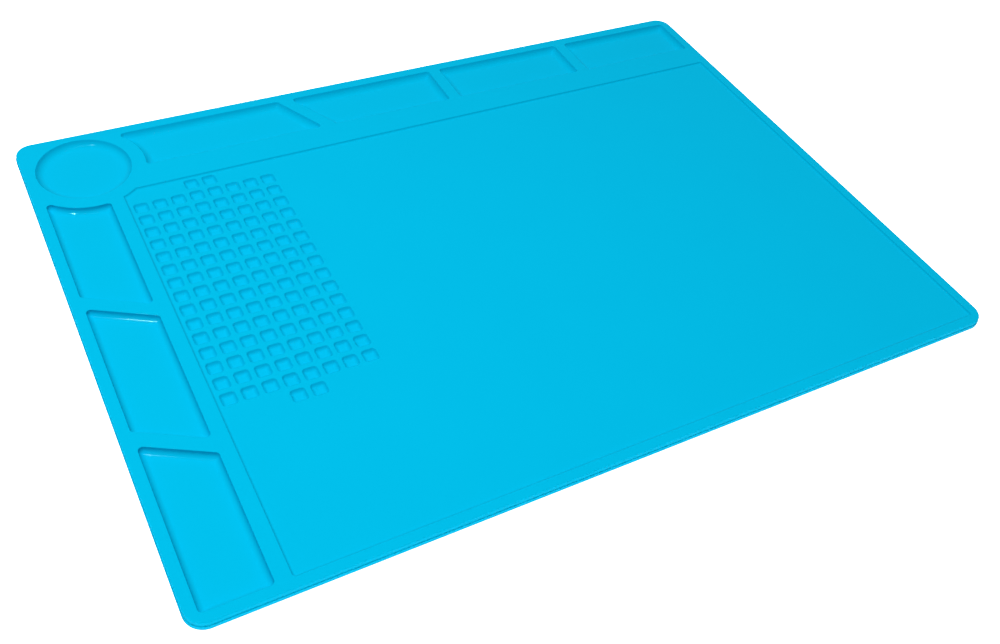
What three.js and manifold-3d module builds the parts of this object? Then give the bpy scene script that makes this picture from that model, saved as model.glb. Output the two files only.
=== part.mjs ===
// Silicone repair mat: one moulded sheet with a recessed work area, a field of
// small square pockets, a round dish in one corner and long trays along two sides.
//
// Millimetres, +Z up. The origin is at the centre of the underside. +X runs along
// the long side, and +Y points to the side with the row of four trays.

import * as THREE from 'three';
import { mergeVertices } from 'three/addons/utils/BufferGeometryUtils.js';
import Module from 'manifold-3d';

// Sheet
const MAT_LENGTH = 350;
const MAT_WIDTH = 250;
const MAT_THICKNESS = 4;
const MAT_CORNER_RADIUS = 7.5;
const EDGE_ROUNDING = 0.6;

// Rims and strips between the recesses
const LEFT_RIM = 4.6;
const RIGHT_RIM = 4.9;
const NEAR_RIM = 4.2;
const FAR_RIM = 5.3;
const LEFT_STRIP = 5.5;
const FAR_STRIP = 13.4;
const DIVIDER = 5.5;

// Trays
const TRAY_WIDTH = 25.2;
const TRAY_DEPTH = 2.6;
const TRAY_WALL_RUN = 3.9;
const TRAY_CORNER_RADIUS = 1.8;
const DIVIDER_SLANT = THREE.MathUtils.degToRad(28.6);
const LEFT_DIVIDERS_Y = [15, -55];
const SLANTED_DIVIDER_X = -45.3;
const STRAIGHT_DIVIDERS_X = [27.95, 102.9];

// Round dish
const DISH_RADIUS = 20;
const DISH_RIM = 5.9;
const DISH_INSET_X = 25;
const DISH_INSET_Y = 24;

// Work area
const STEP_DEPTH = 0.8;
const STEP_WALL_RUN = 1.25;
const STEP_CORNER_RADIUS = 1.5;

// Pocket field: full rows and columns, and a pair of extra pockets at each end
const POCKET_SIDE = 6.5;
const POCKET_PITCH = 7.97;
const POCKET_DEPTH = 1.4;
const POCKET_WALL_RUN = 2.2;
const POCKET_CORNER_RADIUS = 1.6;
const POCKET_COLUMNS = 8;
const POCKET_ROWS = 15;
const EXTRA_POCKET_COLUMNS = [3, 4];
const FIELD_INSET_X = 5.25;
const FIELD_INSET_Y = 12.75;

// Facets on curved edges
const MAT_CORNER_STEPS = 8;
const TRAY_CORNER_STEPS = 3;
const POCKET_CORNER_STEPS = 2;
const WALL_STEPS = 4;
const STEP_WALL_STEPS = 2;
const POCKET_WALL_STEPS = 2;
const DISH_STEPS = 48;
const ARC_STEPS = 10;

// Smallest corner radius where a wall runs in past the radius of its corner
const SHARPEST_CORNER = 0.3;

// Height by which the cutters stand above the top face
const CUTTER_OVERSHOOT = 2;

// Edges and centres that follow from the sizes above
const trayLeft = -MAT_LENGTH / 2 + LEFT_RIM;
const trayRight = trayLeft + TRAY_WIDTH;
const trayFar = MAT_WIDTH / 2 - FAR_RIM;
const trayNear = trayFar - TRAY_WIDTH;
const workLeft = trayRight + LEFT_STRIP;
const workRight = MAT_LENGTH / 2 - RIGHT_RIM;
const workNear = -MAT_WIDTH / 2 + NEAR_RIM;
const workFar = trayNear - FAR_STRIP;
const workFloor = MAT_THICKNESS - STEP_DEPTH;
const dishX = -MAT_LENGTH / 2 + DISH_INSET_X;
const dishY = MAT_WIDTH / 2 - DISH_INSET_Y;
const bandRadius = DISH_RADIUS + DISH_RIM;

const wasm = await Module();
wasm.setup();

const corner = (x, y, radius = 0) => ({ x, y, radius });

// Closed outline, anticlockwise, with each corner rounded to its own radius.
function outline(corners, steps) {
  const points = [];
  corners.forEach((here, i) => {
    const p = new THREE.Vector2(here.x, here.y);
    if (here.radius === 0) {
      points.push(p);
      return;
    }
    const before = corners[(i + corners.length - 1) % corners.length];
    const after = corners[(i + 1) % corners.length];
    const a = new THREE.Vector2(before.x, before.y).sub(p).normalize();
    const b = new THREE.Vector2(after.x, after.y).sub(p).normalize();
    const half = Math.acos(a.dot(b)) / 2;
    const bisector = a.clone().add(b).normalize();
    const centre = p.clone().addScaledVector(bisector, here.radius / Math.sin(half));
    const tangent = p.clone().addScaledVector(a, here.radius / Math.tan(half));
    const start = tangent.sub(centre).angle();
    const turn = Math.PI - 2 * half;
    for (let k = 0; k <= steps; k += 1) {
      const angle = start + (turn * k) / steps;
      const ray = new THREE.Vector2(Math.cos(angle), Math.sin(angle));
      points.push(centre.clone().addScaledVector(ray, here.radius));
    }
  });
  return points;
}

// Radius of a corner whose sides have moved in by an inset, never quite sharp.
const turned = (radius, inset) => Math.max(radius - inset, SHARPEST_CORNER);

// Points of an arc, both ends included.
function arc(x, y, radius, from, to, steps) {
  const points = [];
  for (let k = 0; k <= steps; k += 1) {
    const angle = from + ((to - from) * k) / steps;
    points.push(corner(x + radius * Math.cos(angle), y + radius * Math.sin(angle)));
  }
  return points;
}

// Centres of the small corner arcs where a tray's side line meets the band that runs
// round the dish: an upright line is met below the dish, a level line beside it.
const cornerBelow = (x, reach) => (
  { x, y: dishY - Math.sqrt(reach ** 2 - (x - dishX) ** 2) }
);
const cornerBeside = (y, reach) => (
  { x: dishX + Math.sqrt(reach ** 2 - (y - dishY) ** 2), y }
);

// Tray end that hollows inwards along the band, from one corner arc to the other.
function bandEnd(first, startAngle, last, endAngle, r, band) {
  const turn = 2 * Math.PI;
  const toDish = (c) => (Math.atan2(dishY - c.y, dishX - c.x) + turn) % turn;
  const from = toDish(first);
  const to = toDish(last);
  const bend = arc(dishX, dishY, band, from - Math.PI, to - Math.PI, ARC_STEPS);
  return [
    ...arc(first.x, first.y, r, startAngle, from, TRAY_CORNER_STEPS),
    ...bend.slice(1, -1),
    ...arc(last.x, last.y, r, to, endAngle, TRAY_CORNER_STEPS),
  ];
}

// Section of a moulded wall that is steep at its top and runs out into the floor along
// an arc: inset and height of each step, floor first. A wall that runs in less than it
// is deep is upright above a quarter circle.
function wallSection(top, depth, run, steps) {
  const radius = run < depth ? run : (run ** 2 + depth ** 2) / (2 * depth);
  const steep = run < depth ? Math.PI / 2 : Math.asin(run / radius);
  const section = [];
  for (let k = 0; k <= steps; k += 1) {
    const angle = (steep * k) / steps;
    section.push({
      inset: run - radius * Math.sin(angle),
      height: top - depth + radius * (1 - Math.cos(angle)),
    });
  }
  return section;
}

function toManifold(geometry) {
  geometry.deleteAttribute('normal');
  geometry.deleteAttribute('uv');
  const merged = mergeVertices(geometry, 1e-5);
  return new wasm.Manifold(new wasm.Mesh({
    numProp: 3,
    vertProperties: new Float32Array(merged.attributes.position.array),
    triVerts: new Uint32Array(merged.index.array),
  }));
}

function toGeometry(manifold) {
  const mesh = manifold.getMesh();
  const geometry = new THREE.BufferGeometry();
  geometry.setAttribute('position', new THREE.BufferAttribute(mesh.vertProperties, 3));
  geometry.setIndex(new THREE.BufferAttribute(mesh.triVerts, 1));
  geometry.computeVertexNormals();
  return geometry;
}

// Cutter through the outlines of a wall's section, which outlineAt gives for an inset,
// and on up past the top face.
function hollowCutter(outlineAt, section) {
  const rings = section.map(({ inset, height }) => ({ points: outlineAt(inset), height }));
  rings.push({ points: outlineAt(0), height: MAT_THICKNESS + CUTTER_OVERSHOOT });
  const count = rings[0].points.length;
  const positions = rings.flatMap(({ points, height }) => (
    points.flatMap((p) => [p.x, p.y, height])
  ));
  const index = [];
  for (let ring = 0; ring < rings.length - 1; ring += 1) {
    for (let k = 0; k < count; k += 1) {
      const a = ring * count + k;
      const b = ring * count + ((k + 1) % count);
      index.push(a, b, b + count, a, b + count, a + count);
    }
  }
  const last = (rings.length - 1) * count;
  THREE.ShapeUtils.triangulateShape(rings[0].points, []).forEach(([a, b, c]) => {
    index.push(a, c, b);
  });
  THREE.ShapeUtils.triangulateShape(rings.at(-1).points, []).forEach(([a, b, c]) => {
    index.push(last + a, last + b, last + c);
  });
  const geometry = new THREE.BufferGeometry();
  geometry.setAttribute('position', new THREE.Float32BufferAttribute(positions, 3));
  geometry.setIndex(index);
  return toManifold(geometry);
}

const trayCutter = (cornersAt) => hollowCutter(
  (inset) => outline(cornersAt(inset), TRAY_CORNER_STEPS),
  wallSection(MAT_THICKNESS, TRAY_DEPTH, TRAY_WALL_RUN, WALL_STEPS),
);

function sheet() {
  const x = MAT_LENGTH / 2;
  const y = MAT_WIDTH / 2;
  const shape = new THREE.Shape(outline([
    corner(-x, -y, MAT_CORNER_RADIUS),
    corner(x, -y, MAT_CORNER_RADIUS),
    corner(x, y, MAT_CORNER_RADIUS),
    corner(-x, y, MAT_CORNER_RADIUS),
  ], MAT_CORNER_STEPS));
  const geometry = new THREE.ExtrudeGeometry(shape, {
    depth: MAT_THICKNESS - 2 * EDGE_ROUNDING,
    bevelEnabled: true,
    bevelThickness: EDGE_ROUNDING,
    bevelSize: EDGE_ROUNDING,
    bevelOffset: -EDGE_ROUNDING,
    bevelSegments: 2,
  });
  geometry.translate(0, 0, EDGE_ROUNDING);
  return toManifold(geometry);
}

function dish() {
  const section = wallSection(MAT_THICKNESS, TRAY_DEPTH, TRAY_WALL_RUN, WALL_STEPS);
  const profile = section.map(({ inset, height }) => (
    new THREE.Vector2(DISH_RADIUS - inset, height)
  ));
  const top = MAT_THICKNESS + CUTTER_OVERSHOOT;
  profile.unshift(new THREE.Vector2(0, MAT_THICKNESS - TRAY_DEPTH));
  profile.push(new THREE.Vector2(DISH_RADIUS, top), new THREE.Vector2(0, top));
  const geometry = new THREE.LatheGeometry(profile, DISH_STEPS);
  geometry.rotateX(Math.PI / 2);
  geometry.translate(dishX, dishY, 0);
  return toManifold(geometry);
}

// Corners of the column of trays down the left side, parted by slanted dividers.
function leftTrayCorners(inset) {
  const r = turned(TRAY_CORNER_RADIUS, inset);
  const band = bandRadius + inset;
  const [left, right] = [trayLeft + inset, trayRight - inset];
  const middle = (trayLeft + trayRight) / 2;
  const half = (DIVIDER / 2 + inset) / Math.cos(DIVIDER_SLANT);
  const edge = (x, dividerY, side) => (
    corner(x, dividerY + side * half - (x - middle) * Math.tan(DIVIDER_SLANT), r)
  );
  const first = cornerBelow(right - r, band + r);
  const last = cornerBelow(left + r, band + r);
  const ends = [bandEnd(first, 0, last, Math.PI, r, band)];
  const starts = [];
  LEFT_DIVIDERS_Y.forEach((y) => {
    starts.push([edge(left, y, 1), edge(right, y, 1)]);
    ends.push([edge(right, y, -1), edge(left, y, -1)]);
  });
  starts.push([corner(left, workNear + inset, r), corner(right, workNear + inset, r)]);
  return starts.map((start, i) => [...start, ...ends[i]]);
}

// Corners of the row of trays along the far side: one slanted divider, then straight ones.
function farTrayCorners(inset) {
  const r = turned(TRAY_CORNER_RADIUS, inset);
  const band = bandRadius + inset;
  const [near, far] = [trayNear + inset, trayFar - inset];
  const right = workRight - inset;
  const middle = (trayNear + trayFar) / 2;
  const half = (DIVIDER / 2 + inset) / Math.cos(DIVIDER_SLANT);
  const edge = (y, side) => (
    corner(SLANTED_DIVIDER_X + side * half - (y - middle) * Math.tan(DIVIDER_SLANT), y, r)
  );
  const first = cornerBeside(far - r, band + r);
  const last = cornerBeside(near + r, band + r);
  const starts = [
    bandEnd(first, Math.PI / 2, last, 1.5 * Math.PI, r, band),
    [edge(far, 1), edge(near, 1)],
  ];
  const ends = [[edge(near, -1), edge(far, -1)]];
  const straight = DIVIDER / 2 + inset;
  STRAIGHT_DIVIDERS_X.forEach((x) => {
    ends.push([corner(x - straight, near, r), corner(x - straight, far, r)]);
    starts.push([corner(x + straight, far, r), corner(x + straight, near, r)]);
  });
  ends.push([corner(right, near, r), corner(right, far, r)]);
  return starts.map((start, i) => [...start, ...ends[i]]);
}

const trays = (cornersAt) => (
  cornersAt(0).map((_, i) => trayCutter((inset) => cornersAt(inset)[i]))
);

// Recessed work area. Its far left corner follows the band round the dish, or is a plain
// corner where it lies clear of the band.
function workArea() {
  const wallFoot = bandRadius + STEP_WALL_RUN;
  const gapX = workLeft + STEP_WALL_RUN - dishX;
  const gapY = dishY - (workFar - STEP_WALL_RUN);
  const meetsBand = Math.hypot(gapX, gapY) < wallFoot;
  const outlineAt = (inset) => {
    const r = turned(STEP_CORNER_RADIUS, inset);
    const band = bandRadius + inset;
    const [left, right] = [workLeft + inset, workRight - inset];
    const [near, far] = [workNear + inset, workFar - inset];
    const cornerEnd = () => {
      const from = Math.asin((far - dishY) / band);
      const to = -Math.acos((left - dishX) / band);
      return arc(dishX, dishY, band, from, to, ARC_STEPS);
    };
    return outline([
      corner(left, near, r),
      corner(right, near, r),
      corner(right, far, r),
      ...(meetsBand ? cornerEnd() : [corner(left, far, r)]),
    ], TRAY_CORNER_STEPS);
  };
  const section = wallSection(MAT_THICKNESS, STEP_DEPTH, STEP_WALL_RUN, STEP_WALL_STEPS);
  return hollowCutter(outlineAt, section);
}

// The pocket field: one cutter, repeated at each pocket's place.
function pocketField() {
  const outlineAt = (inset) => {
    const half = POCKET_SIDE / 2 - inset;
    const r = turned(POCKET_CORNER_RADIUS, inset);
    return outline([
      corner(-half, -half, r),
      corner(half, -half, r),
      corner(half, half, r),
      corner(-half, half, r),
    ], POCKET_CORNER_STEPS);
  };
  const run = Math.min(POCKET_WALL_RUN, POCKET_SIDE / 2 - 2 * SHARPEST_CORNER);
  const section = wallSection(workFloor, POCKET_DEPTH, run, POCKET_WALL_STEPS);
  const pocket = hollowCutter(outlineAt, section);
  const at = (column, row) => pocket.translate([
    workLeft + FIELD_INSET_X + column * POCKET_PITCH,
    workFar - FIELD_INSET_Y - row * POCKET_PITCH,
    0,
  ]);
  const copies = [];
  for (let row = 0; row < POCKET_ROWS; row += 1) {
    for (let column = 0; column < POCKET_COLUMNS; column += 1) {
      copies.push(at(column, row));
    }
  }
  EXTRA_POCKET_COLUMNS.forEach((column) => {
    copies.push(at(column, -1), at(column, POCKET_ROWS));
  });
  return wasm.Manifold.compose(copies);
}

const cutters = [workArea(), pocketField(), dish()];
cutters.push(...trays(leftTrayCorners), ...trays(farTrayCorners));
const solid = cutters
  .reduce((body, cutter) => body.subtract(cutter), sheet());

const silicone = new THREE.MeshStandardMaterial({
  color: new THREE.Color().setRGB(0.0, 0.733, 0.89, THREE.SRGBColorSpace),
  roughness: 0.55,
  metalness: 0,
});

const matMesh = new THREE.Mesh(toGeometry(solid), silicone);
matMesh.name = 'silicone_mat';

const repairMat = new THREE.Group();
repairMat.name = 'repair_mat';
repairMat.add(matMesh);

export default repairMat;
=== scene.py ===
"""Looks of the silicone repair mat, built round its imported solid.

The mat is one moulded sheet. Every recess in it is drawn as a filled outline that is
inset and sunk step by step, so that its rim, wall and floor edge are rounded as a mould
leaves them, and the level faces between the recesses are then filled in.
"""

from math import acos, asin, atan2, cos, pi, radians, sin, sqrt, tan

import bmesh
import bpy
from bpy.props import FloatProperty, FloatVectorProperty, IntProperty, PointerProperty
from mathutils import Matrix, Vector


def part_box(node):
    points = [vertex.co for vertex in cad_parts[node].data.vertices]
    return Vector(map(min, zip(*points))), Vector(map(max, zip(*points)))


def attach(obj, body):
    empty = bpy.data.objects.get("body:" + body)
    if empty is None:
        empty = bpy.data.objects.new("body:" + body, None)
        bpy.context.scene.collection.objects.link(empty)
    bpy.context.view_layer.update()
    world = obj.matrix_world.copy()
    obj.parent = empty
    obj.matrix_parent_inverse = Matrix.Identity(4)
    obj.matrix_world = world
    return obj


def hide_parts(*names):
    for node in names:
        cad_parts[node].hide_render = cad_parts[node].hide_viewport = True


bl_info = {
    "name": "Silicone Repair Mat",
    "version": (1, 0, 0),
    "blender": (4, 5, 0),
    "location": "View3D > Sidebar > Mat",
    "description": "Models a moulded silicone repair mat and its plain studio",
    "category": "Object",
}

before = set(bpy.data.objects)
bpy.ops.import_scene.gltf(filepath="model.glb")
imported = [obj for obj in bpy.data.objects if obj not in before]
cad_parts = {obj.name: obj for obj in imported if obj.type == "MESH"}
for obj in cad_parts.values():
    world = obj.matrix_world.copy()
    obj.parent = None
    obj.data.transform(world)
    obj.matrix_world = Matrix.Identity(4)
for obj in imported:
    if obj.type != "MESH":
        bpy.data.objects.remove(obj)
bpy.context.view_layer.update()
NODE_LOW, NODE_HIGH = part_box("silicone_mat")
BODY = "root"

MM = 0.001
PLANE_TOLERANCE = 1e-6
WELD = 0.002 * MM
SHARPEST = 0.3 * MM

# Layout that the solid sets, in metres
LENGTH = NODE_HIGH.x - NODE_LOW.x
WIDTH = NODE_HIGH.y - NODE_LOW.y
THICKNESS = NODE_HIGH.z - NODE_LOW.z
CORNER_RADIUS = 7.5 * MM
LEFT_RIM = 4.6 * MM
RIGHT_RIM = 4.9 * MM
NEAR_RIM = 4.2 * MM
FAR_RIM = 5.3 * MM
LEFT_STRIP = 5.5 * MM
FAR_STRIP = 13.4 * MM
DIVIDER = 5.5 * MM
TRAY_WIDTH = 25.2 * MM
TRAY_CORNER = 1.8 * MM
SLANT = radians(28.6)
LEFT_DIVIDERS_Y = (15 * MM, -55 * MM)
SLANTED_DIVIDER_X = -45.3 * MM
STRAIGHT_DIVIDERS_X = (27.95 * MM, 102.9 * MM)
DISH_RADIUS = 20 * MM
DISH_RIM = 5.9 * MM
DISH_INSET_X = 25 * MM
DISH_INSET_Y = 24 * MM
STEP_CORNER = 1.5 * MM
POCKET_SIDE = 6.5 * MM
POCKET_PITCH = 7.97 * MM
POCKET_CORNER = 1.6 * MM
POCKET_BRINK = 0.05 * MM
POCKET_COLUMNS = 8
POCKET_ROWS = 15
EXTRA_COLUMNS = (3, 4)
FIELD_INSET_X = 5.25 * MM
FIELD_INSET_Y = 12.75 * MM

TRAY_LEFT = -LENGTH / 2 + LEFT_RIM
TRAY_RIGHT = TRAY_LEFT + TRAY_WIDTH
TRAY_FAR = WIDTH / 2 - FAR_RIM
TRAY_NEAR = TRAY_FAR - TRAY_WIDTH
WORK_LEFT = TRAY_RIGHT + LEFT_STRIP
WORK_RIGHT = LENGTH / 2 - RIGHT_RIM
WORK_NEAR = -WIDTH / 2 + NEAR_RIM
WORK_FAR = TRAY_NEAR - FAR_STRIP
DISH_X = -LENGTH / 2 + DISH_INSET_X
DISH_Y = WIDTH / 2 - DISH_INSET_Y
BAND_RADIUS = DISH_RADIUS + DISH_RIM

# Facets on curved edges
SHEET_CORNER_CUTS = 16
TRAY_CORNER_CUTS = 8
POCKET_CORNER_CUTS = 4
BAND_CUTS = 32
DISH_CUTS = 128
FOOT_CUTS = 4
LIP_CUTS = 3

# Lip of the parting ledge, and how far the ledge falls outwards
LIP_RADIUS = 0.12 * MM
LEDGE_FALL = 0.02 * MM

# Sizes of the finish: noise scales are per metre, heights are above the underside
CLOUD_SCALE = 35
DULL_SCALE = 60
DULL_SPREAD = 0.04
GRAIN_SCALE = 3500
GRAIN_HEIGHT = 0.02 * MM
# Heights of the painted contact shadow at the foot: it darkens from the first, is full
# between the second and third, and is gone by the fourth.
FOOT_SHADOW_HEIGHTS = (0.03 * MM, 0.1 * MM, 0.2 * MM, 0.55 * MM)

# Places of the lights and the camera, in metres
KEY_PLACE = (-0.62, -0.2, 1.3)
KEY_SIDE = 0.06
NEAR_PLACE = (-0.25, 0.02, 0.6)
NEAR_SIDE = 0.3
TOP_PLACE = (0, 0.02, 2.4)
TOP_SPREAD = radians(35)
CAMERA_PLACE = (-0.19740, -0.28513, 0.31153)
CAMERA_AIM = (0.38957, 0.56784, -0.72511)
CAMERA_ROLL = radians(9.18)
CAMERA_SHIFT = 0.0213


class MatSizes(bpy.types.PropertyGroup):
    tray_depth: FloatProperty(
        name="Tray Depth",
        description="How far the floors of the trays and the dish lie below the rims",
        default=2.6 * MM,
        unit="LENGTH",
        subtype="DISTANCE",
    )
    tray_rim: FloatProperty(
        name="Tray Rim Radius",
        description="Rounding where a tray or the dish meets the top face",
        default=0.22 * MM,
        unit="LENGTH",
        subtype="DISTANCE",
    )
    tray_fillet: FloatProperty(
        name="Tray Floor Fillet",
        description="Radius of the hollow in which a tray's wall runs out into its floor",
        default=4.0 * MM,
        unit="LENGTH",
        subtype="DISTANCE",
    )
    side_fillet: FloatProperty(
        name="Left Tray Fillet",
        description="The same radius in the left trays, whose walls are steeper",
        default=2.4 * MM,
        unit="LENGTH",
        subtype="DISTANCE",
    )
    step_depth: FloatProperty(
        name="Step Depth",
        description="How far the work area lies below the rims",
        default=0.8 * MM,
        unit="LENGTH",
        subtype="DISTANCE",
    )
    step_rim: FloatProperty(
        name="Step Rim Radius",
        description="Rounding along the top of the step",
        default=0.3 * MM,
        unit="LENGTH",
        subtype="DISTANCE",
    )
    step_fillet: FloatProperty(
        name="Step Fillet",
        description="Radius of the hollow in which the step runs out into the work area",
        default=1.07 * MM,
        unit="LENGTH",
        subtype="DISTANCE",
    )
    pocket_depth: FloatProperty(
        name="Pocket Depth",
        description="How far the pockets lie below the work area",
        default=1.4 * MM,
        unit="LENGTH",
        subtype="DISTANCE",
    )
    pocket_rim: FloatProperty(
        name="Pocket Rim Radius",
        description="Rounding along the top of the ribs between the pockets",
        default=0.4 * MM,
        unit="LENGTH",
        subtype="DISTANCE",
    )
    pocket_fillet: FloatProperty(
        name="Pocket Fillet",
        description="Radius of the hollow in which a pocket's walls run out into its floor",
        default=1.75 * MM,
        unit="LENGTH",
        subtype="DISTANCE",
    )
    draft: FloatProperty(
        name="Draft",
        description="Lean of the sheet's edge, which lets it leave the mould",
        default=radians(3),
        unit="ROTATION",
        subtype="ANGLE",
    )
    edge_radius: FloatProperty(
        name="Edge Radius",
        description="Rounding along the top edge of the sheet",
        default=0.5 * MM,
        unit="LENGTH",
        subtype="DISTANCE",
    )
    foot_radius: FloatProperty(
        name="Foot Radius",
        description="Rounding along the bottom edge of the sheet",
        default=0.4 * MM,
        unit="LENGTH",
        subtype="DISTANCE",
    )
    parting_height: FloatProperty(
        name="Parting Height",
        description="Height of the line where the two halves of the mould met",
        default=2.0 * MM,
        unit="LENGTH",
        subtype="DISTANCE",
    )
    parting_ledge: FloatProperty(
        name="Parting Ledge",
        description="How far the upper half of the edge stands back at the parting line",
        default=0.3 * MM,
        unit="LENGTH",
        subtype="DISTANCE",
    )
    fillet_cuts: IntProperty(
        name="Fillet Cuts",
        description="Facets across each rounded edge of the trays and the sheet",
        default=6,
        min=2,
        max=12,
    )
    pocket_cuts: IntProperty(
        name="Pocket Cuts",
        description="Facets across each rounded edge of the pockets",
        default=3,
        min=2,
        max=6,
    )


class MatFinish(bpy.types.PropertyGroup):
    colour: FloatVectorProperty(
        name="Silicone Colour",
        description="Colour of the dyed silicone",
        subtype="COLOR",
        size=3,
        min=0,
        max=1,
        default=(0.0, 0.50, 0.79),
    )
    deep_colour: FloatVectorProperty(
        name="Silicone Colour, Deeper",
        description="Colour where the dye lies a little thicker",
        subtype="COLOR",
        size=3,
        min=0,
        max=1,
        default=(0.0, 0.485, 0.775),
    )
    # Painted contact shadow: this dark line along the foot of the edge stands in for the
    # shade where the sheet meets the floor.
    foot_shadow_colour: FloatVectorProperty(
        name="Foot Colour",
        description="Colour of the dark line along the foot of the sheet's edge",
        subtype="COLOR",
        size=3,
        min=0,
        max=1,
        default=(0.0, 0.2, 0.3),
    )
    roughness: FloatProperty(
        name="Roughness",
        description="How dull the moulded surface is",
        default=0.08,
        min=0,
        max=1,
        subtype="FACTOR",
    )
    grain: FloatProperty(
        name="Grain",
        description="Strength of the fine texture that the mould leaves",
        default=0.12,
        min=0,
        max=1,
        subtype="FACTOR",
    )


class StageSettings(bpy.types.PropertyGroup):
    floor_size: FloatProperty(
        name="Floor Size",
        description="Side of the square floor",
        default=8.0,
        unit="LENGTH",
        subtype="DISTANCE",
    )
    floor_colour: FloatVectorProperty(
        name="Floor Colour",
        description="Colour of the plain floor",
        subtype="COLOR",
        size=3,
        min=0,
        max=1,
        default=(0.9, 0.9, 0.9),
    )
    floor_glow: FloatProperty(
        name="Floor Glow",
        description="Light of its own that keeps the floor plain white",
        default=1.4,
        min=0,
        soft_max=2,
    )
    sky: FloatProperty(
        name="Room Light",
        description="Strength of the even light from all round",
        default=0.05,
        min=0,
        soft_max=2,
    )
    key_power: FloatProperty(
        name="Key Light Power",
        description="Power of the small soft box up on the left",
        default=3.0,
        min=0,
        soft_max=100,
        unit="POWER",
    )
    near_power: FloatProperty(
        name="Near Light Power",
        description="Power of the low panel over the left side of the mat",
        default=1.1,
        min=0,
        soft_max=100,
        unit="POWER",
    )
    top_power: FloatProperty(
        name="Top Light Strength",
        description="Strength of the wide soft light overhead",
        default=2.05,
        min=0,
        soft_max=20,
    )
    focal_length: FloatProperty(
        name="Focal Length",
        description="Focal length of the camera's lens",
        default=38.305,
        unit="CAMERA",
    )


def corner(x, y, radius=0.0):
    return x, y, radius


def arc(x, y, radius, start, end, cuts):
    """Corners along an arc, both ends included."""
    angles = [start + (end - start) * k / cuts for k in range(cuts + 1)]
    return [corner(x + radius * cos(a), y + radius * sin(a)) for a in angles]


def rounded(corners, cuts):
    """Points of a closed outline, anticlockwise, each corner rounded to its radius."""
    points = []
    for i, (x, y, radius) in enumerate(corners):
        here = Vector((x, y))
        if radius == 0:
            points.append(here)
            continue
        before = (Vector(corners[i - 1][:2]) - here).normalized()
        after = (Vector(corners[(i + 1) % len(corners)][:2]) - here).normalized()
        half = acos(max(-1, min(1, before.dot(after)))) / 2
        centre = here + (before + after).normalized() * radius / sin(half)
        ray = here + before * radius / tan(half) - centre
        start = atan2(ray.y, ray.x)
        turn = pi - 2 * half
        points += [Vector(p[:2]) for p in arc(*centre, radius, start, start + turn, cuts)]
    return points


def turned(radius, grow):
    """Radius of a corner drawn larger or smaller all round, never quite sharp."""
    return max(radius + grow, SHARPEST)


def rectangle(left, right, near, far, radius):
    return [
        corner(left, near, radius),
        corner(right, near, radius),
        corner(right, far, radius),
        corner(left, far, radius),
    ]


def corner_below(x, reach):
    """Centre of a corner arc where an upright side meets the band below the dish."""
    return x, DISH_Y - sqrt(reach**2 - (x - DISH_X) ** 2)


def corner_beside(y, reach):
    """Centre of a corner arc where a level side meets the band beside the dish."""
    return DISH_X + sqrt(reach**2 - (y - DISH_Y) ** 2), y


def band_end(first, start, last, end, radius, band):
    """End of a tray that follows the band round the dish, with a small arc at each end."""

    def to_dish(centre):
        return atan2(DISH_Y - centre[1], DISH_X - centre[0]) % (2 * pi)

    turn_in, turn_out = to_dish(first), to_dish(last)
    bend = arc(DISH_X, DISH_Y, band, turn_in - pi, turn_out - pi, BAND_CUTS)
    return [
        *arc(*first, radius, start, turn_in, TRAY_CORNER_CUTS),
        *bend[1:-1],
        *arc(*last, radius, turn_out, end, TRAY_CORNER_CUTS),
    ]


def left_tray_outlines(grow):
    """Trays down the left side, drawn larger by grow all round for their rim."""
    left, right, near = TRAY_LEFT - grow, TRAY_RIGHT + grow, WORK_NEAR - grow
    radius, band = turned(TRAY_CORNER, grow), BAND_RADIUS - grow
    reach = band + radius
    middle = (TRAY_LEFT + TRAY_RIGHT) / 2
    half = (DIVIDER / 2 - grow) / cos(SLANT)

    def divider(x, y, side):
        return corner(x, y + side * half - (x - middle) * tan(SLANT), radius)

    below = (corner_below(right - radius, reach), corner_below(left + radius, reach))
    ends = [band_end(below[0], 0, below[1], pi, radius, band)]
    starts = []
    for y in LEFT_DIVIDERS_Y:
        starts.append([divider(left, y, 1), divider(right, y, 1)])
        ends.append([divider(right, y, -1), divider(left, y, -1)])
    starts.append([corner(left, near, radius), corner(right, near, radius)])
    return [rounded(a + b, TRAY_CORNER_CUTS) for a, b in zip(starts, ends)]


def far_tray_outlines(grow):
    """Trays along the far side, drawn larger by grow all round for their rim."""
    near, far, right = TRAY_NEAR - grow, TRAY_FAR + grow, WORK_RIGHT + grow
    radius, band = turned(TRAY_CORNER, grow), BAND_RADIUS - grow
    reach = band + radius
    middle = (TRAY_NEAR + TRAY_FAR) / 2
    half = (DIVIDER / 2 - grow) / cos(SLANT)

    def divider(y, side):
        x = SLANTED_DIVIDER_X + side * half - (y - middle) * tan(SLANT)
        return corner(x, y, radius)

    beside = (corner_beside(far - radius, reach), corner_beside(near + radius, reach))
    starts = [
        band_end(beside[0], pi / 2, beside[1], 1.5 * pi, radius, band),
        [divider(far, 1), divider(near, 1)],
    ]
    ends = [[divider(near, -1), divider(far, -1)]]
    for x in STRAIGHT_DIVIDERS_X:
        edge = DIVIDER / 2 - grow
        ends.append([corner(x - edge, near, radius), corner(x - edge, far, radius)])
        starts.append([corner(x + edge, far, radius), corner(x + edge, near, radius)])
    ends.append([corner(right, near, radius), corner(right, far, radius)])
    return [rounded(a + b, TRAY_CORNER_CUTS) for a, b in zip(starts, ends)]


def dish_outline(grow):
    ring = arc(DISH_X, DISH_Y, DISH_RADIUS + grow, 0, 2 * pi, DISH_CUTS)
    return [Vector(p[:2]) for p in ring[:-1]]


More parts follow.
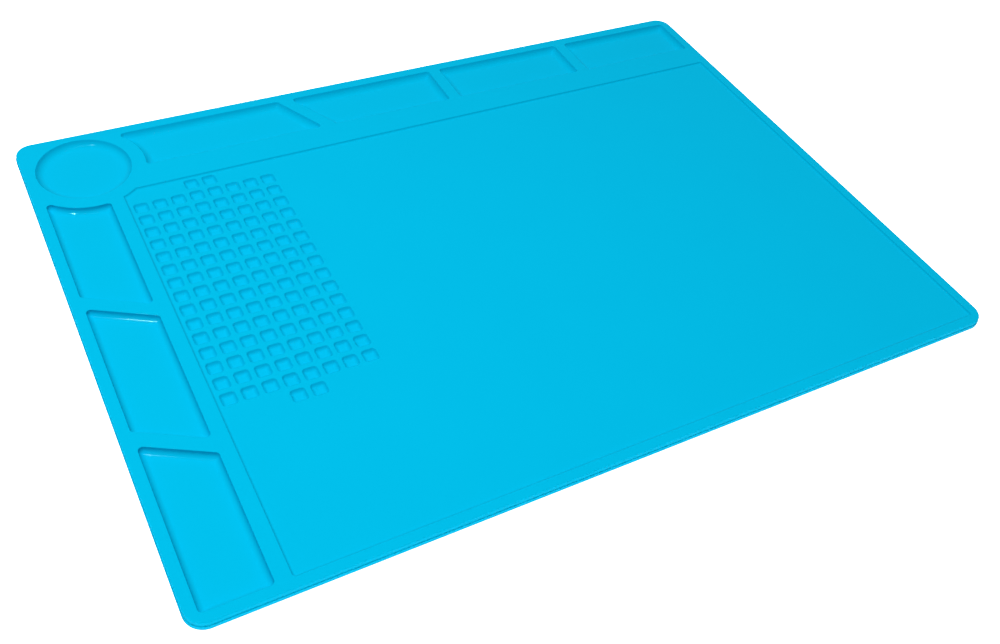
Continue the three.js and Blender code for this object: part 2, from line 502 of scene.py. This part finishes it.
def work_outline(grow):
    """The work area, whose far left corner follows the band round the dish."""
    left, right = WORK_LEFT - grow, WORK_RIGHT + grow
    near, far = WORK_NEAR - grow, WORK_FAR + grow
    radius, band = turned(STEP_CORNER, grow), BAND_RADIUS - grow
    start = asin((far - DISH_Y) / band)
    end = -acos((left - DISH_X) / band)
    corners = [
        corner(left, near, radius),
        corner(right, near, radius),
        corner(right, far, radius),
        *arc(DISH_X, DISH_Y, band, start, end, BAND_CUTS // 2),
    ]
    return rounded(corners, TRAY_CORNER_CUTS)


def pocket_outline(grow):
    """The first pocket of the field, about its own centre."""
    half = POCKET_SIDE / 2 + grow
    radius = turned(POCKET_CORNER, grow)
    return rounded(rectangle(-half, half, -half, half, radius), POCKET_CORNER_CUTS)


def pocket_cell(far=POCKET_PITCH / 2):
    """The square round a pocket that meets the squares of the pockets beside it."""
    half = POCKET_PITCH / 2
    points = [p * half / max(abs(p.x), abs(p.y)) for p in pocket_outline(0)]
    return [Vector((p.x, min(p.y, far))) for p in points]


def sheet_outline(grow):
    half_x, half_y = LENGTH / 2 + grow, WIDTH / 2 + grow
    radius = turned(CORNER_RADIUS, grow)
    return rounded(rectangle(-half_x, half_x, -half_y, half_y, radius), SHEET_CORNER_CUTS)


def quarter(radius, cuts):
    """(inset, rise) along a quarter circle, from upright to level."""
    angles = [pi / 2 * k / cuts for k in range(1, cuts + 1)]
    return [(radius * (1 - cos(a)), radius * sin(a)) for a in angles]


def recess_profile(depth, rim, fillet, cuts):
    """(inset, drop) of a wall that rolls over the rim and runs out into the floor.

    The inset is counted from the line where the top face ends.
    """
    steep = acos(max(0.0, 1 - depth / (rim + fillet)))
    angles = [steep * k / cuts for k in range(cuts + 1)]
    over = [(rim * sin(a), rim * (1 - cos(a))) for a in angles]
    reach = (rim + fillet) * sin(steep)
    out = [(reach - fillet * sin(a), depth - fillet * (1 - cos(a))) for a in angles]
    return over + out[-2::-1]


def select_only(*objects):
    bpy.ops.object.select_all(action="DESELECT")
    for obj in objects:
        obj.select_set(True)
    bpy.context.view_layer.objects.active = objects[0]


def filled_outline(name, ring, facing=1):
    """A flat face in a ring, drawn from a circle with a vertex for each of its points."""
    points, height = ring
    bpy.ops.object.select_all(action="DESELECT")
    bpy.ops.mesh.primitive_circle_add(vertices=len(points), radius=1, fill_type="NGON")
    piece = bpy.context.object
    piece.name = name
    for vertex, point in zip(piece.data.vertices, points):
        vertex.co = (*point, height)
    piece.data.update()
    if piece.data.polygons[0].normal.z * facing < 0:
        bpy.ops.object.mode_set(mode="EDIT")
        bpy.ops.mesh.select_all(action="SELECT")
        bpy.ops.mesh.flip_normals()
        bpy.ops.object.mode_set(mode="OBJECT")
    return piece


def moulded(name, rings, facing=1):
    """A face inset from ring to ring: each ring is a closed line of points and a height."""
    piece = filled_outline(name, rings[0], facing)
    bpy.ops.object.mode_set(mode="EDIT")
    bpy.ops.mesh.select_mode(type="FACE")
    bpy.ops.mesh.select_all(action="SELECT")
    for (before, _), (points, height) in zip(rings, rings[1:]):
        bpy.ops.mesh.inset(thickness=0, depth=0, use_boundary=True)
        layout = bmesh.from_edit_mesh(piece.data)
        inner = next(face for face in layout.faces if face.select)
        for vertex in inner.verts:
            nearest = min(
                range(len(before)), key=lambda k: (before[k] - vertex.co.xy).length_squared
            )
            vertex.co = (*points[nearest], height)
        bmesh.update_edit_mesh(piece.data)
    bpy.ops.object.mode_set(mode="OBJECT")
    return piece


def select_rims(mesh, height):
    """Selects the open edges at a height, in edit mode."""
    layout = bmesh.from_edit_mesh(mesh)
    for part in (*layout.verts, *layout.edges, *layout.faces):
        part.select = False
    for edge in layout.edges:
        level = all(abs(v.co.z - height) < PLANE_TOLERANCE for v in edge.verts)
        if edge.is_boundary and level:
            edge.select_set(True)
    bmesh.update_edit_mesh(mesh)


def fill_level(piece, height):
    """Fills the level face between the open rims at a height."""
    select_only(piece)
    bpy.ops.object.mode_set(mode="EDIT")
    bpy.ops.mesh.select_mode(type="EDGE")
    select_rims(piece.data, height)
    bpy.ops.mesh.fill(use_beauty=True)
    bpy.ops.object.mode_set(mode="OBJECT")


def drop_floor(piece):
    """Deletes the level face in the middle, and leaves the rim round it open."""
    middle = max(piece.data.polygons, key=lambda face: face.area)
    select_only(piece)
    bpy.ops.object.mode_set(mode="EDIT")
    bpy.ops.mesh.select_mode(type="FACE")
    bpy.ops.mesh.select_all(action="DESELECT")
    layout = bmesh.from_edit_mesh(piece.data)
    layout.faces.ensure_lookup_table()
    layout.faces[middle.index].select_set(True)
    bmesh.update_edit_mesh(piece.data)
    bpy.ops.mesh.delete(type="ONLY_FACE")
    bpy.ops.object.mode_set(mode="OBJECT")


def sheet_edge(sizes):
    """The edge of the sheet: a lower half, a ledge at the parting line, an upper half."""
    height, cuts = sizes.parting_height, sizes.fillet_cuts
    ledge, lip = sizes.parting_ledge, LIP_RADIUS
    start = height - lip

    upright = THICKNESS - height - sizes.edge_radius
    lean = upright * tan(sizes.draft)
    places = [(0.0, 0.0), *quarter(lip, LIP_CUTS)]
    places.append((ledge, lip + LEDGE_FALL))
    places.append((ledge + lean, lip + upright))
    for a, b in quarter(sizes.edge_radius, cuts):
        places.append((ledge + lean + a, lip + upright + b))
    top = moulded("sheet_top", [(sheet_outline(-a), start + b) for a, b in places])
    drop_floor(top)

    upright = start - sizes.foot_radius
    places = [(0.0, 0.0), (0.0, upright)]
    places += [(a, upright + b) for a, b in quarter(sizes.foot_radius, FOOT_CUTS)]
    rings = [(sheet_outline(-a), start - b) for a, b in places]
    return [top, moulded("sheet_foot", rings, facing=-1)]


def hollows(profile, outlines_at):
    """A closed hollow for each outline, with the same wall all round."""
    heights = [THICKNESS - drop for _, drop in profile]
    levels = [outlines_at(-inset) for inset, _ in profile]
    return [moulded("tray", list(zip(rings, heights))) for rings in zip(*levels)]


def recesses(sizes):
    """The dish, the trays and the step of the work area, each open at its rim."""
    cuts = sizes.fillet_cuts
    tray = recess_profile(sizes.tray_depth, sizes.tray_rim, sizes.tray_fillet, cuts)
    step = recess_profile(sizes.step_depth, sizes.step_rim, sizes.step_fillet, cuts)
    side = recess_profile(sizes.tray_depth, sizes.tray_rim, sizes.side_fillet, cuts)
    made = hollows(side, left_tray_outlines)
    made += hollows(tray, far_tray_outlines)
    made += hollows(tray, lambda grow: [dish_outline(grow)])
    work = moulded("work_area", [(work_outline(-a), THICKNESS - b) for a, b in step])
    drop_floor(work)
    return [*made, work]


def pockets(sizes):
    """One pocket, modelled once and copied across the field and to its two ends."""
    level = THICKNESS - sizes.step_depth
    profile = recess_profile(
        sizes.pocket_depth, sizes.pocket_rim, sizes.pocket_fillet, sizes.pocket_cuts
    )
    walls = [(pocket_outline(-inset), level - drop) for inset, drop in profile]
    centre = Vector((WORK_LEFT + FIELD_INSET_X, WORK_FAR - FIELD_INSET_Y, 0))

    def place(piece, column, row):
        shift = centre + Vector((column * POCKET_PITCH, -row * POCKET_PITCH, 0))
        piece.data.transform(Matrix.Translation(shift))
        return piece

    first = place(moulded("pocket", [(pocket_cell(), level), *walls]), 0, 0)
    extras = []
    for column in EXTRA_COLUMNS:
        for row, cell in (
            (-1, pocket_cell(far=POCKET_SIDE / 2 + POCKET_BRINK)),
            (POCKET_ROWS, pocket_cell()),
        ):
            extras.append(place(moulded("pocket", [(cell, level), *walls]), column, row))
    for count, offset in (
        (POCKET_COLUMNS, (POCKET_PITCH, 0, 0)),
        (POCKET_ROWS, (0, -POCKET_PITCH, 0)),
    ):
        select_only(first)
        array = first.modifiers.new("field", "ARRAY")
        array.count = count
        array.use_relative_offset = False
        array.use_constant_offset = True
        array.constant_offset_displace = offset
        bpy.ops.object.modifier_apply(modifier=array.name)
    return [first, *extras]


def silicone_material(finish):
    """Satin dyed silicone: faint clouds, a painted contact shadow as a dark line at the foot,
    a fine mould texture.
    """
    material = bpy.data.materials.new("dyed_silicone")
    material.use_nodes = True
    nodes, links = material.node_tree.nodes, material.node_tree.links
    shader = nodes["Principled BSDF"]
    shader.inputs["Metallic"].default_value = 0
    shader.inputs["IOR"].default_value = 1.42
    shader.inputs["Specular IOR Level"].default_value = 0.4
    shader.inputs["Specular Tint"].default_value = (0.35, 0.85, 1.0, 1)

    place = nodes.new("ShaderNodeTexCoord")

    def noise(scale, detail):
        node = nodes.new("ShaderNodeTexNoise")
        node.inputs["Scale"].default_value = scale
        node.inputs["Detail"].default_value = detail
        links.new(place.outputs["Object"], node.inputs["Vector"])
        return node.outputs["Fac"]

    clouds = nodes.new("ShaderNodeMix")
    clouds.data_type = "RGBA"
    clouds.inputs["A"].default_value = (*finish.deep_colour, 1)
    clouds.inputs["B"].default_value = (*finish.colour, 1)
    links.new(noise(CLOUD_SCALE, 3), clouds.inputs["Factor"])

    # Painted contact shadow: a dark band low on the sheet's edge, set by height, stands in
    # for the shade where the sheet meets the floor.
    split = nodes.new("ShaderNodeSeparateXYZ")
    links.new(place.outputs["Object"], split.inputs["Vector"])
    rise = nodes.new("ShaderNodeMapRange")
    rise.inputs["From Max"].default_value = MM
    links.new(split.outputs["Z"], rise.inputs["Value"])
    unshaded = nodes.new("ShaderNodeValToRGB")
    under, low, high, above = (height / MM for height in FOOT_SHADOW_HEIGHTS)
    stops = unshaded.color_ramp.elements
    stops[0].position, stops[0].color = under, (1, 1, 1, 1)
    stops[1].position, stops[1].color = above, (1, 1, 1, 1)
    stops.new(low).color = (0, 0, 0, 1)
    stops.new(high).color = (0, 0, 0, 1)
    links.new(rise.outputs["Result"], unshaded.inputs["Fac"])
    foot = nodes.new("ShaderNodeMix")
    foot.data_type = "RGBA"
    foot.inputs["A"].default_value = (*finish.foot_shadow_colour, 1)
    links.new(unshaded.outputs["Color"], foot.inputs["Factor"])
    links.new(clouds.outputs["Result"], foot.inputs["B"])
    links.new(foot.outputs["Result"], shader.inputs["Base Color"])

    dull = nodes.new("ShaderNodeMapRange")
    dull.inputs["To Min"].default_value = finish.roughness - DULL_SPREAD
    dull.inputs["To Max"].default_value = finish.roughness + DULL_SPREAD
    links.new(noise(DULL_SCALE, 4), dull.inputs["Value"])
    links.new(dull.outputs["Result"], shader.inputs["Roughness"])

    grain = nodes.new("ShaderNodeBump")
    grain.inputs["Strength"].default_value = finish.grain
    grain.inputs["Distance"].default_value = GRAIN_HEIGHT
    links.new(noise(GRAIN_SCALE, 2), grain.inputs["Height"])
    links.new(grain.outputs["Normal"], shader.inputs["Normal"])
    return material


class MAT_OT_silicone_mat(bpy.types.Operator):
    """Model the moulded sheet with its trays, dish, work area and pockets"""

    bl_idname = "repair_mat.silicone_mat"
    bl_label = "Silicone Mat"

    def execute(self, context):
        sizes = context.scene.mat_sizes
        parts = [*sheet_edge(sizes), *recesses(sizes), *pockets(sizes)]
        select_only(*parts)
        bpy.ops.object.join()
        mat = context.object
        mat.name = "moulded_mat"
        bpy.ops.object.mode_set(mode="EDIT")
        bpy.ops.mesh.select_all(action="SELECT")
        bpy.ops.mesh.remove_doubles(threshold=WELD)
        bpy.ops.object.mode_set(mode="OBJECT")
        fill_level(mat, THICKNESS)
        fill_level(mat, THICKNESS - sizes.step_depth)
        bpy.ops.object.mode_set(mode="EDIT")
        bpy.ops.mesh.select_all(action="SELECT")
        bpy.ops.mesh.normals_make_consistent(inside=False)
        bpy.ops.object.mode_set(mode="OBJECT")
        bpy.ops.object.shade_smooth()
        even = mat.modifiers.new("even_normals", "WEIGHTED_NORMAL")
        even.mode = "FACE_AREA_WITH_ANGLE"
        even.weight = 100
        bpy.ops.object.modifier_apply(modifier=even.name)

        mat.data.materials.clear()
        mat.data.materials.append(silicone_material(context.scene.mat_finish))
        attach(mat, BODY)
        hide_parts("silicone_mat")
        return {"FINISHED"}


def floor_material(stage):
    material = bpy.data.materials.new("white_floor")
    material.use_nodes = True
    shader = material.node_tree.nodes["Principled BSDF"]
    shader.inputs["Base Color"].default_value = (*stage.floor_colour, 1)
    shader.inputs["Roughness"].default_value = 0.9
    shader.inputs["Emission Color"].default_value = (1, 1, 1, 1)
    shader.inputs["Emission Strength"].default_value = stage.floor_glow
    return material


def soft_panel(name, place, aim, side, power, glossy=True):
    """A square panel light that faces a point, and that shows in glossy surfaces or not."""
    bpy.ops.object.light_add(type="AREA", location=place)
    panel = bpy.context.object
    panel.name = name
    panel.data.shape = "SQUARE"
    panel.data.size = side
    panel.data.energy = power
    panel.visible_glossy = glossy
    panel.rotation_euler = (Vector(aim) - panel.location).to_track_quat("-Z", "Y").to_euler()


class MAT_OT_studio(bpy.types.Operator):
    """Lay the plain floor, hang the soft lights and set up the camera"""

    bl_idname = "repair_mat.studio"
    bl_label = "Studio"

    def execute(self, context):
        stage = context.scene.mat_stage
        bpy.ops.object.select_all(action="DESELECT")
        bpy.ops.mesh.primitive_plane_add(size=stage.floor_size, location=(0, 0, -0.1 * MM))
        floor = context.object
        floor.name = "floor"
        floor.data.materials.append(floor_material(stage))
        floor.visible_glossy = False

        world = bpy.data.worlds.new("room")
        world.use_nodes = True
        background = world.node_tree.nodes["Background"]
        background.inputs["Color"].default_value = (1, 1, 1, 1)
        background.inputs["Strength"].default_value = stage.sky
        context.scene.world = world

        soft_panel("key_light", KEY_PLACE, (0, 0, 0), KEY_SIDE, stage.key_power)
        below = (*NEAR_PLACE[:2], 0)
        soft_panel("near_light", NEAR_PLACE, below, NEAR_SIDE, stage.near_power, glossy=False)
        bpy.ops.object.light_add(type="SUN", location=TOP_PLACE)
        top = context.object
        top.name = "top_light"
        top.data.energy = stage.top_power
        top.data.angle = TOP_SPREAD
        top.rotation_euler = top.location.to_track_quat("Z", "Y").to_euler()
        top.visible_glossy = False

        bpy.ops.object.camera_add(location=CAMERA_PLACE)
        camera = context.object
        camera.name = "camera"
        aim = Vector(CAMERA_AIM).to_track_quat("-Z", "Y")
        roll = Matrix.Rotation(CAMERA_ROLL, 4, "Z")
        camera.rotation_euler = (aim.to_matrix().to_4x4() @ roll).to_euler()
        camera.data.sensor_width = 36
        camera.data.lens = stage.focal_length
        camera.data.shift_x = CAMERA_SHIFT
        camera.data.clip_start = 0.01
        context.scene.camera = camera
        context.scene.view_settings.view_transform = "Standard"
        return {"FINISHED"}


class MAT_PT_panel(bpy.types.Panel):
    """Sizes, finish and studio of the repair mat"""

    bl_idname = "MAT_PT_repair_mat"
    bl_label = "Silicone Repair Mat"
    bl_space_type = "VIEW_3D"
    bl_region_type = "UI"
    bl_category = "Mat"

    def draw(self, context):
        scene = context.scene
        for group, operator in (
            (scene.mat_sizes, MAT_OT_silicone_mat),
            (scene.mat_finish, None),
            (scene.mat_stage, MAT_OT_studio),
        ):
            box = self.layout.box()
            for key in group.bl_rna.properties.keys():
                if key not in {"rna_type", "name"}:
                    box.prop(group, key)
            if operator:
                box.operator(operator.bl_idname)


CLASSES = (
    MatSizes,
    MatFinish,
    StageSettings,
    MAT_OT_silicone_mat,
    MAT_OT_studio,
    MAT_PT_panel,
)


def register():
    for cls in CLASSES:
        bpy.utils.register_class(cls)
    bpy.types.Scene.mat_sizes = PointerProperty(type=MatSizes)
    bpy.types.Scene.mat_finish = PointerProperty(type=MatFinish)
    bpy.types.Scene.mat_stage = PointerProperty(type=StageSettings)


def unregister():
    del bpy.types.Scene.mat_stage
    del bpy.types.Scene.mat_finish
    del bpy.types.Scene.mat_sizes
    for cls in reversed(CLASSES):
        bpy.utils.unregister_class(cls)


def main():
    register()
    bpy.ops.repair_mat.silicone_mat()
    bpy.ops.repair_mat.studio()


if __name__ == "__main__":
    main()
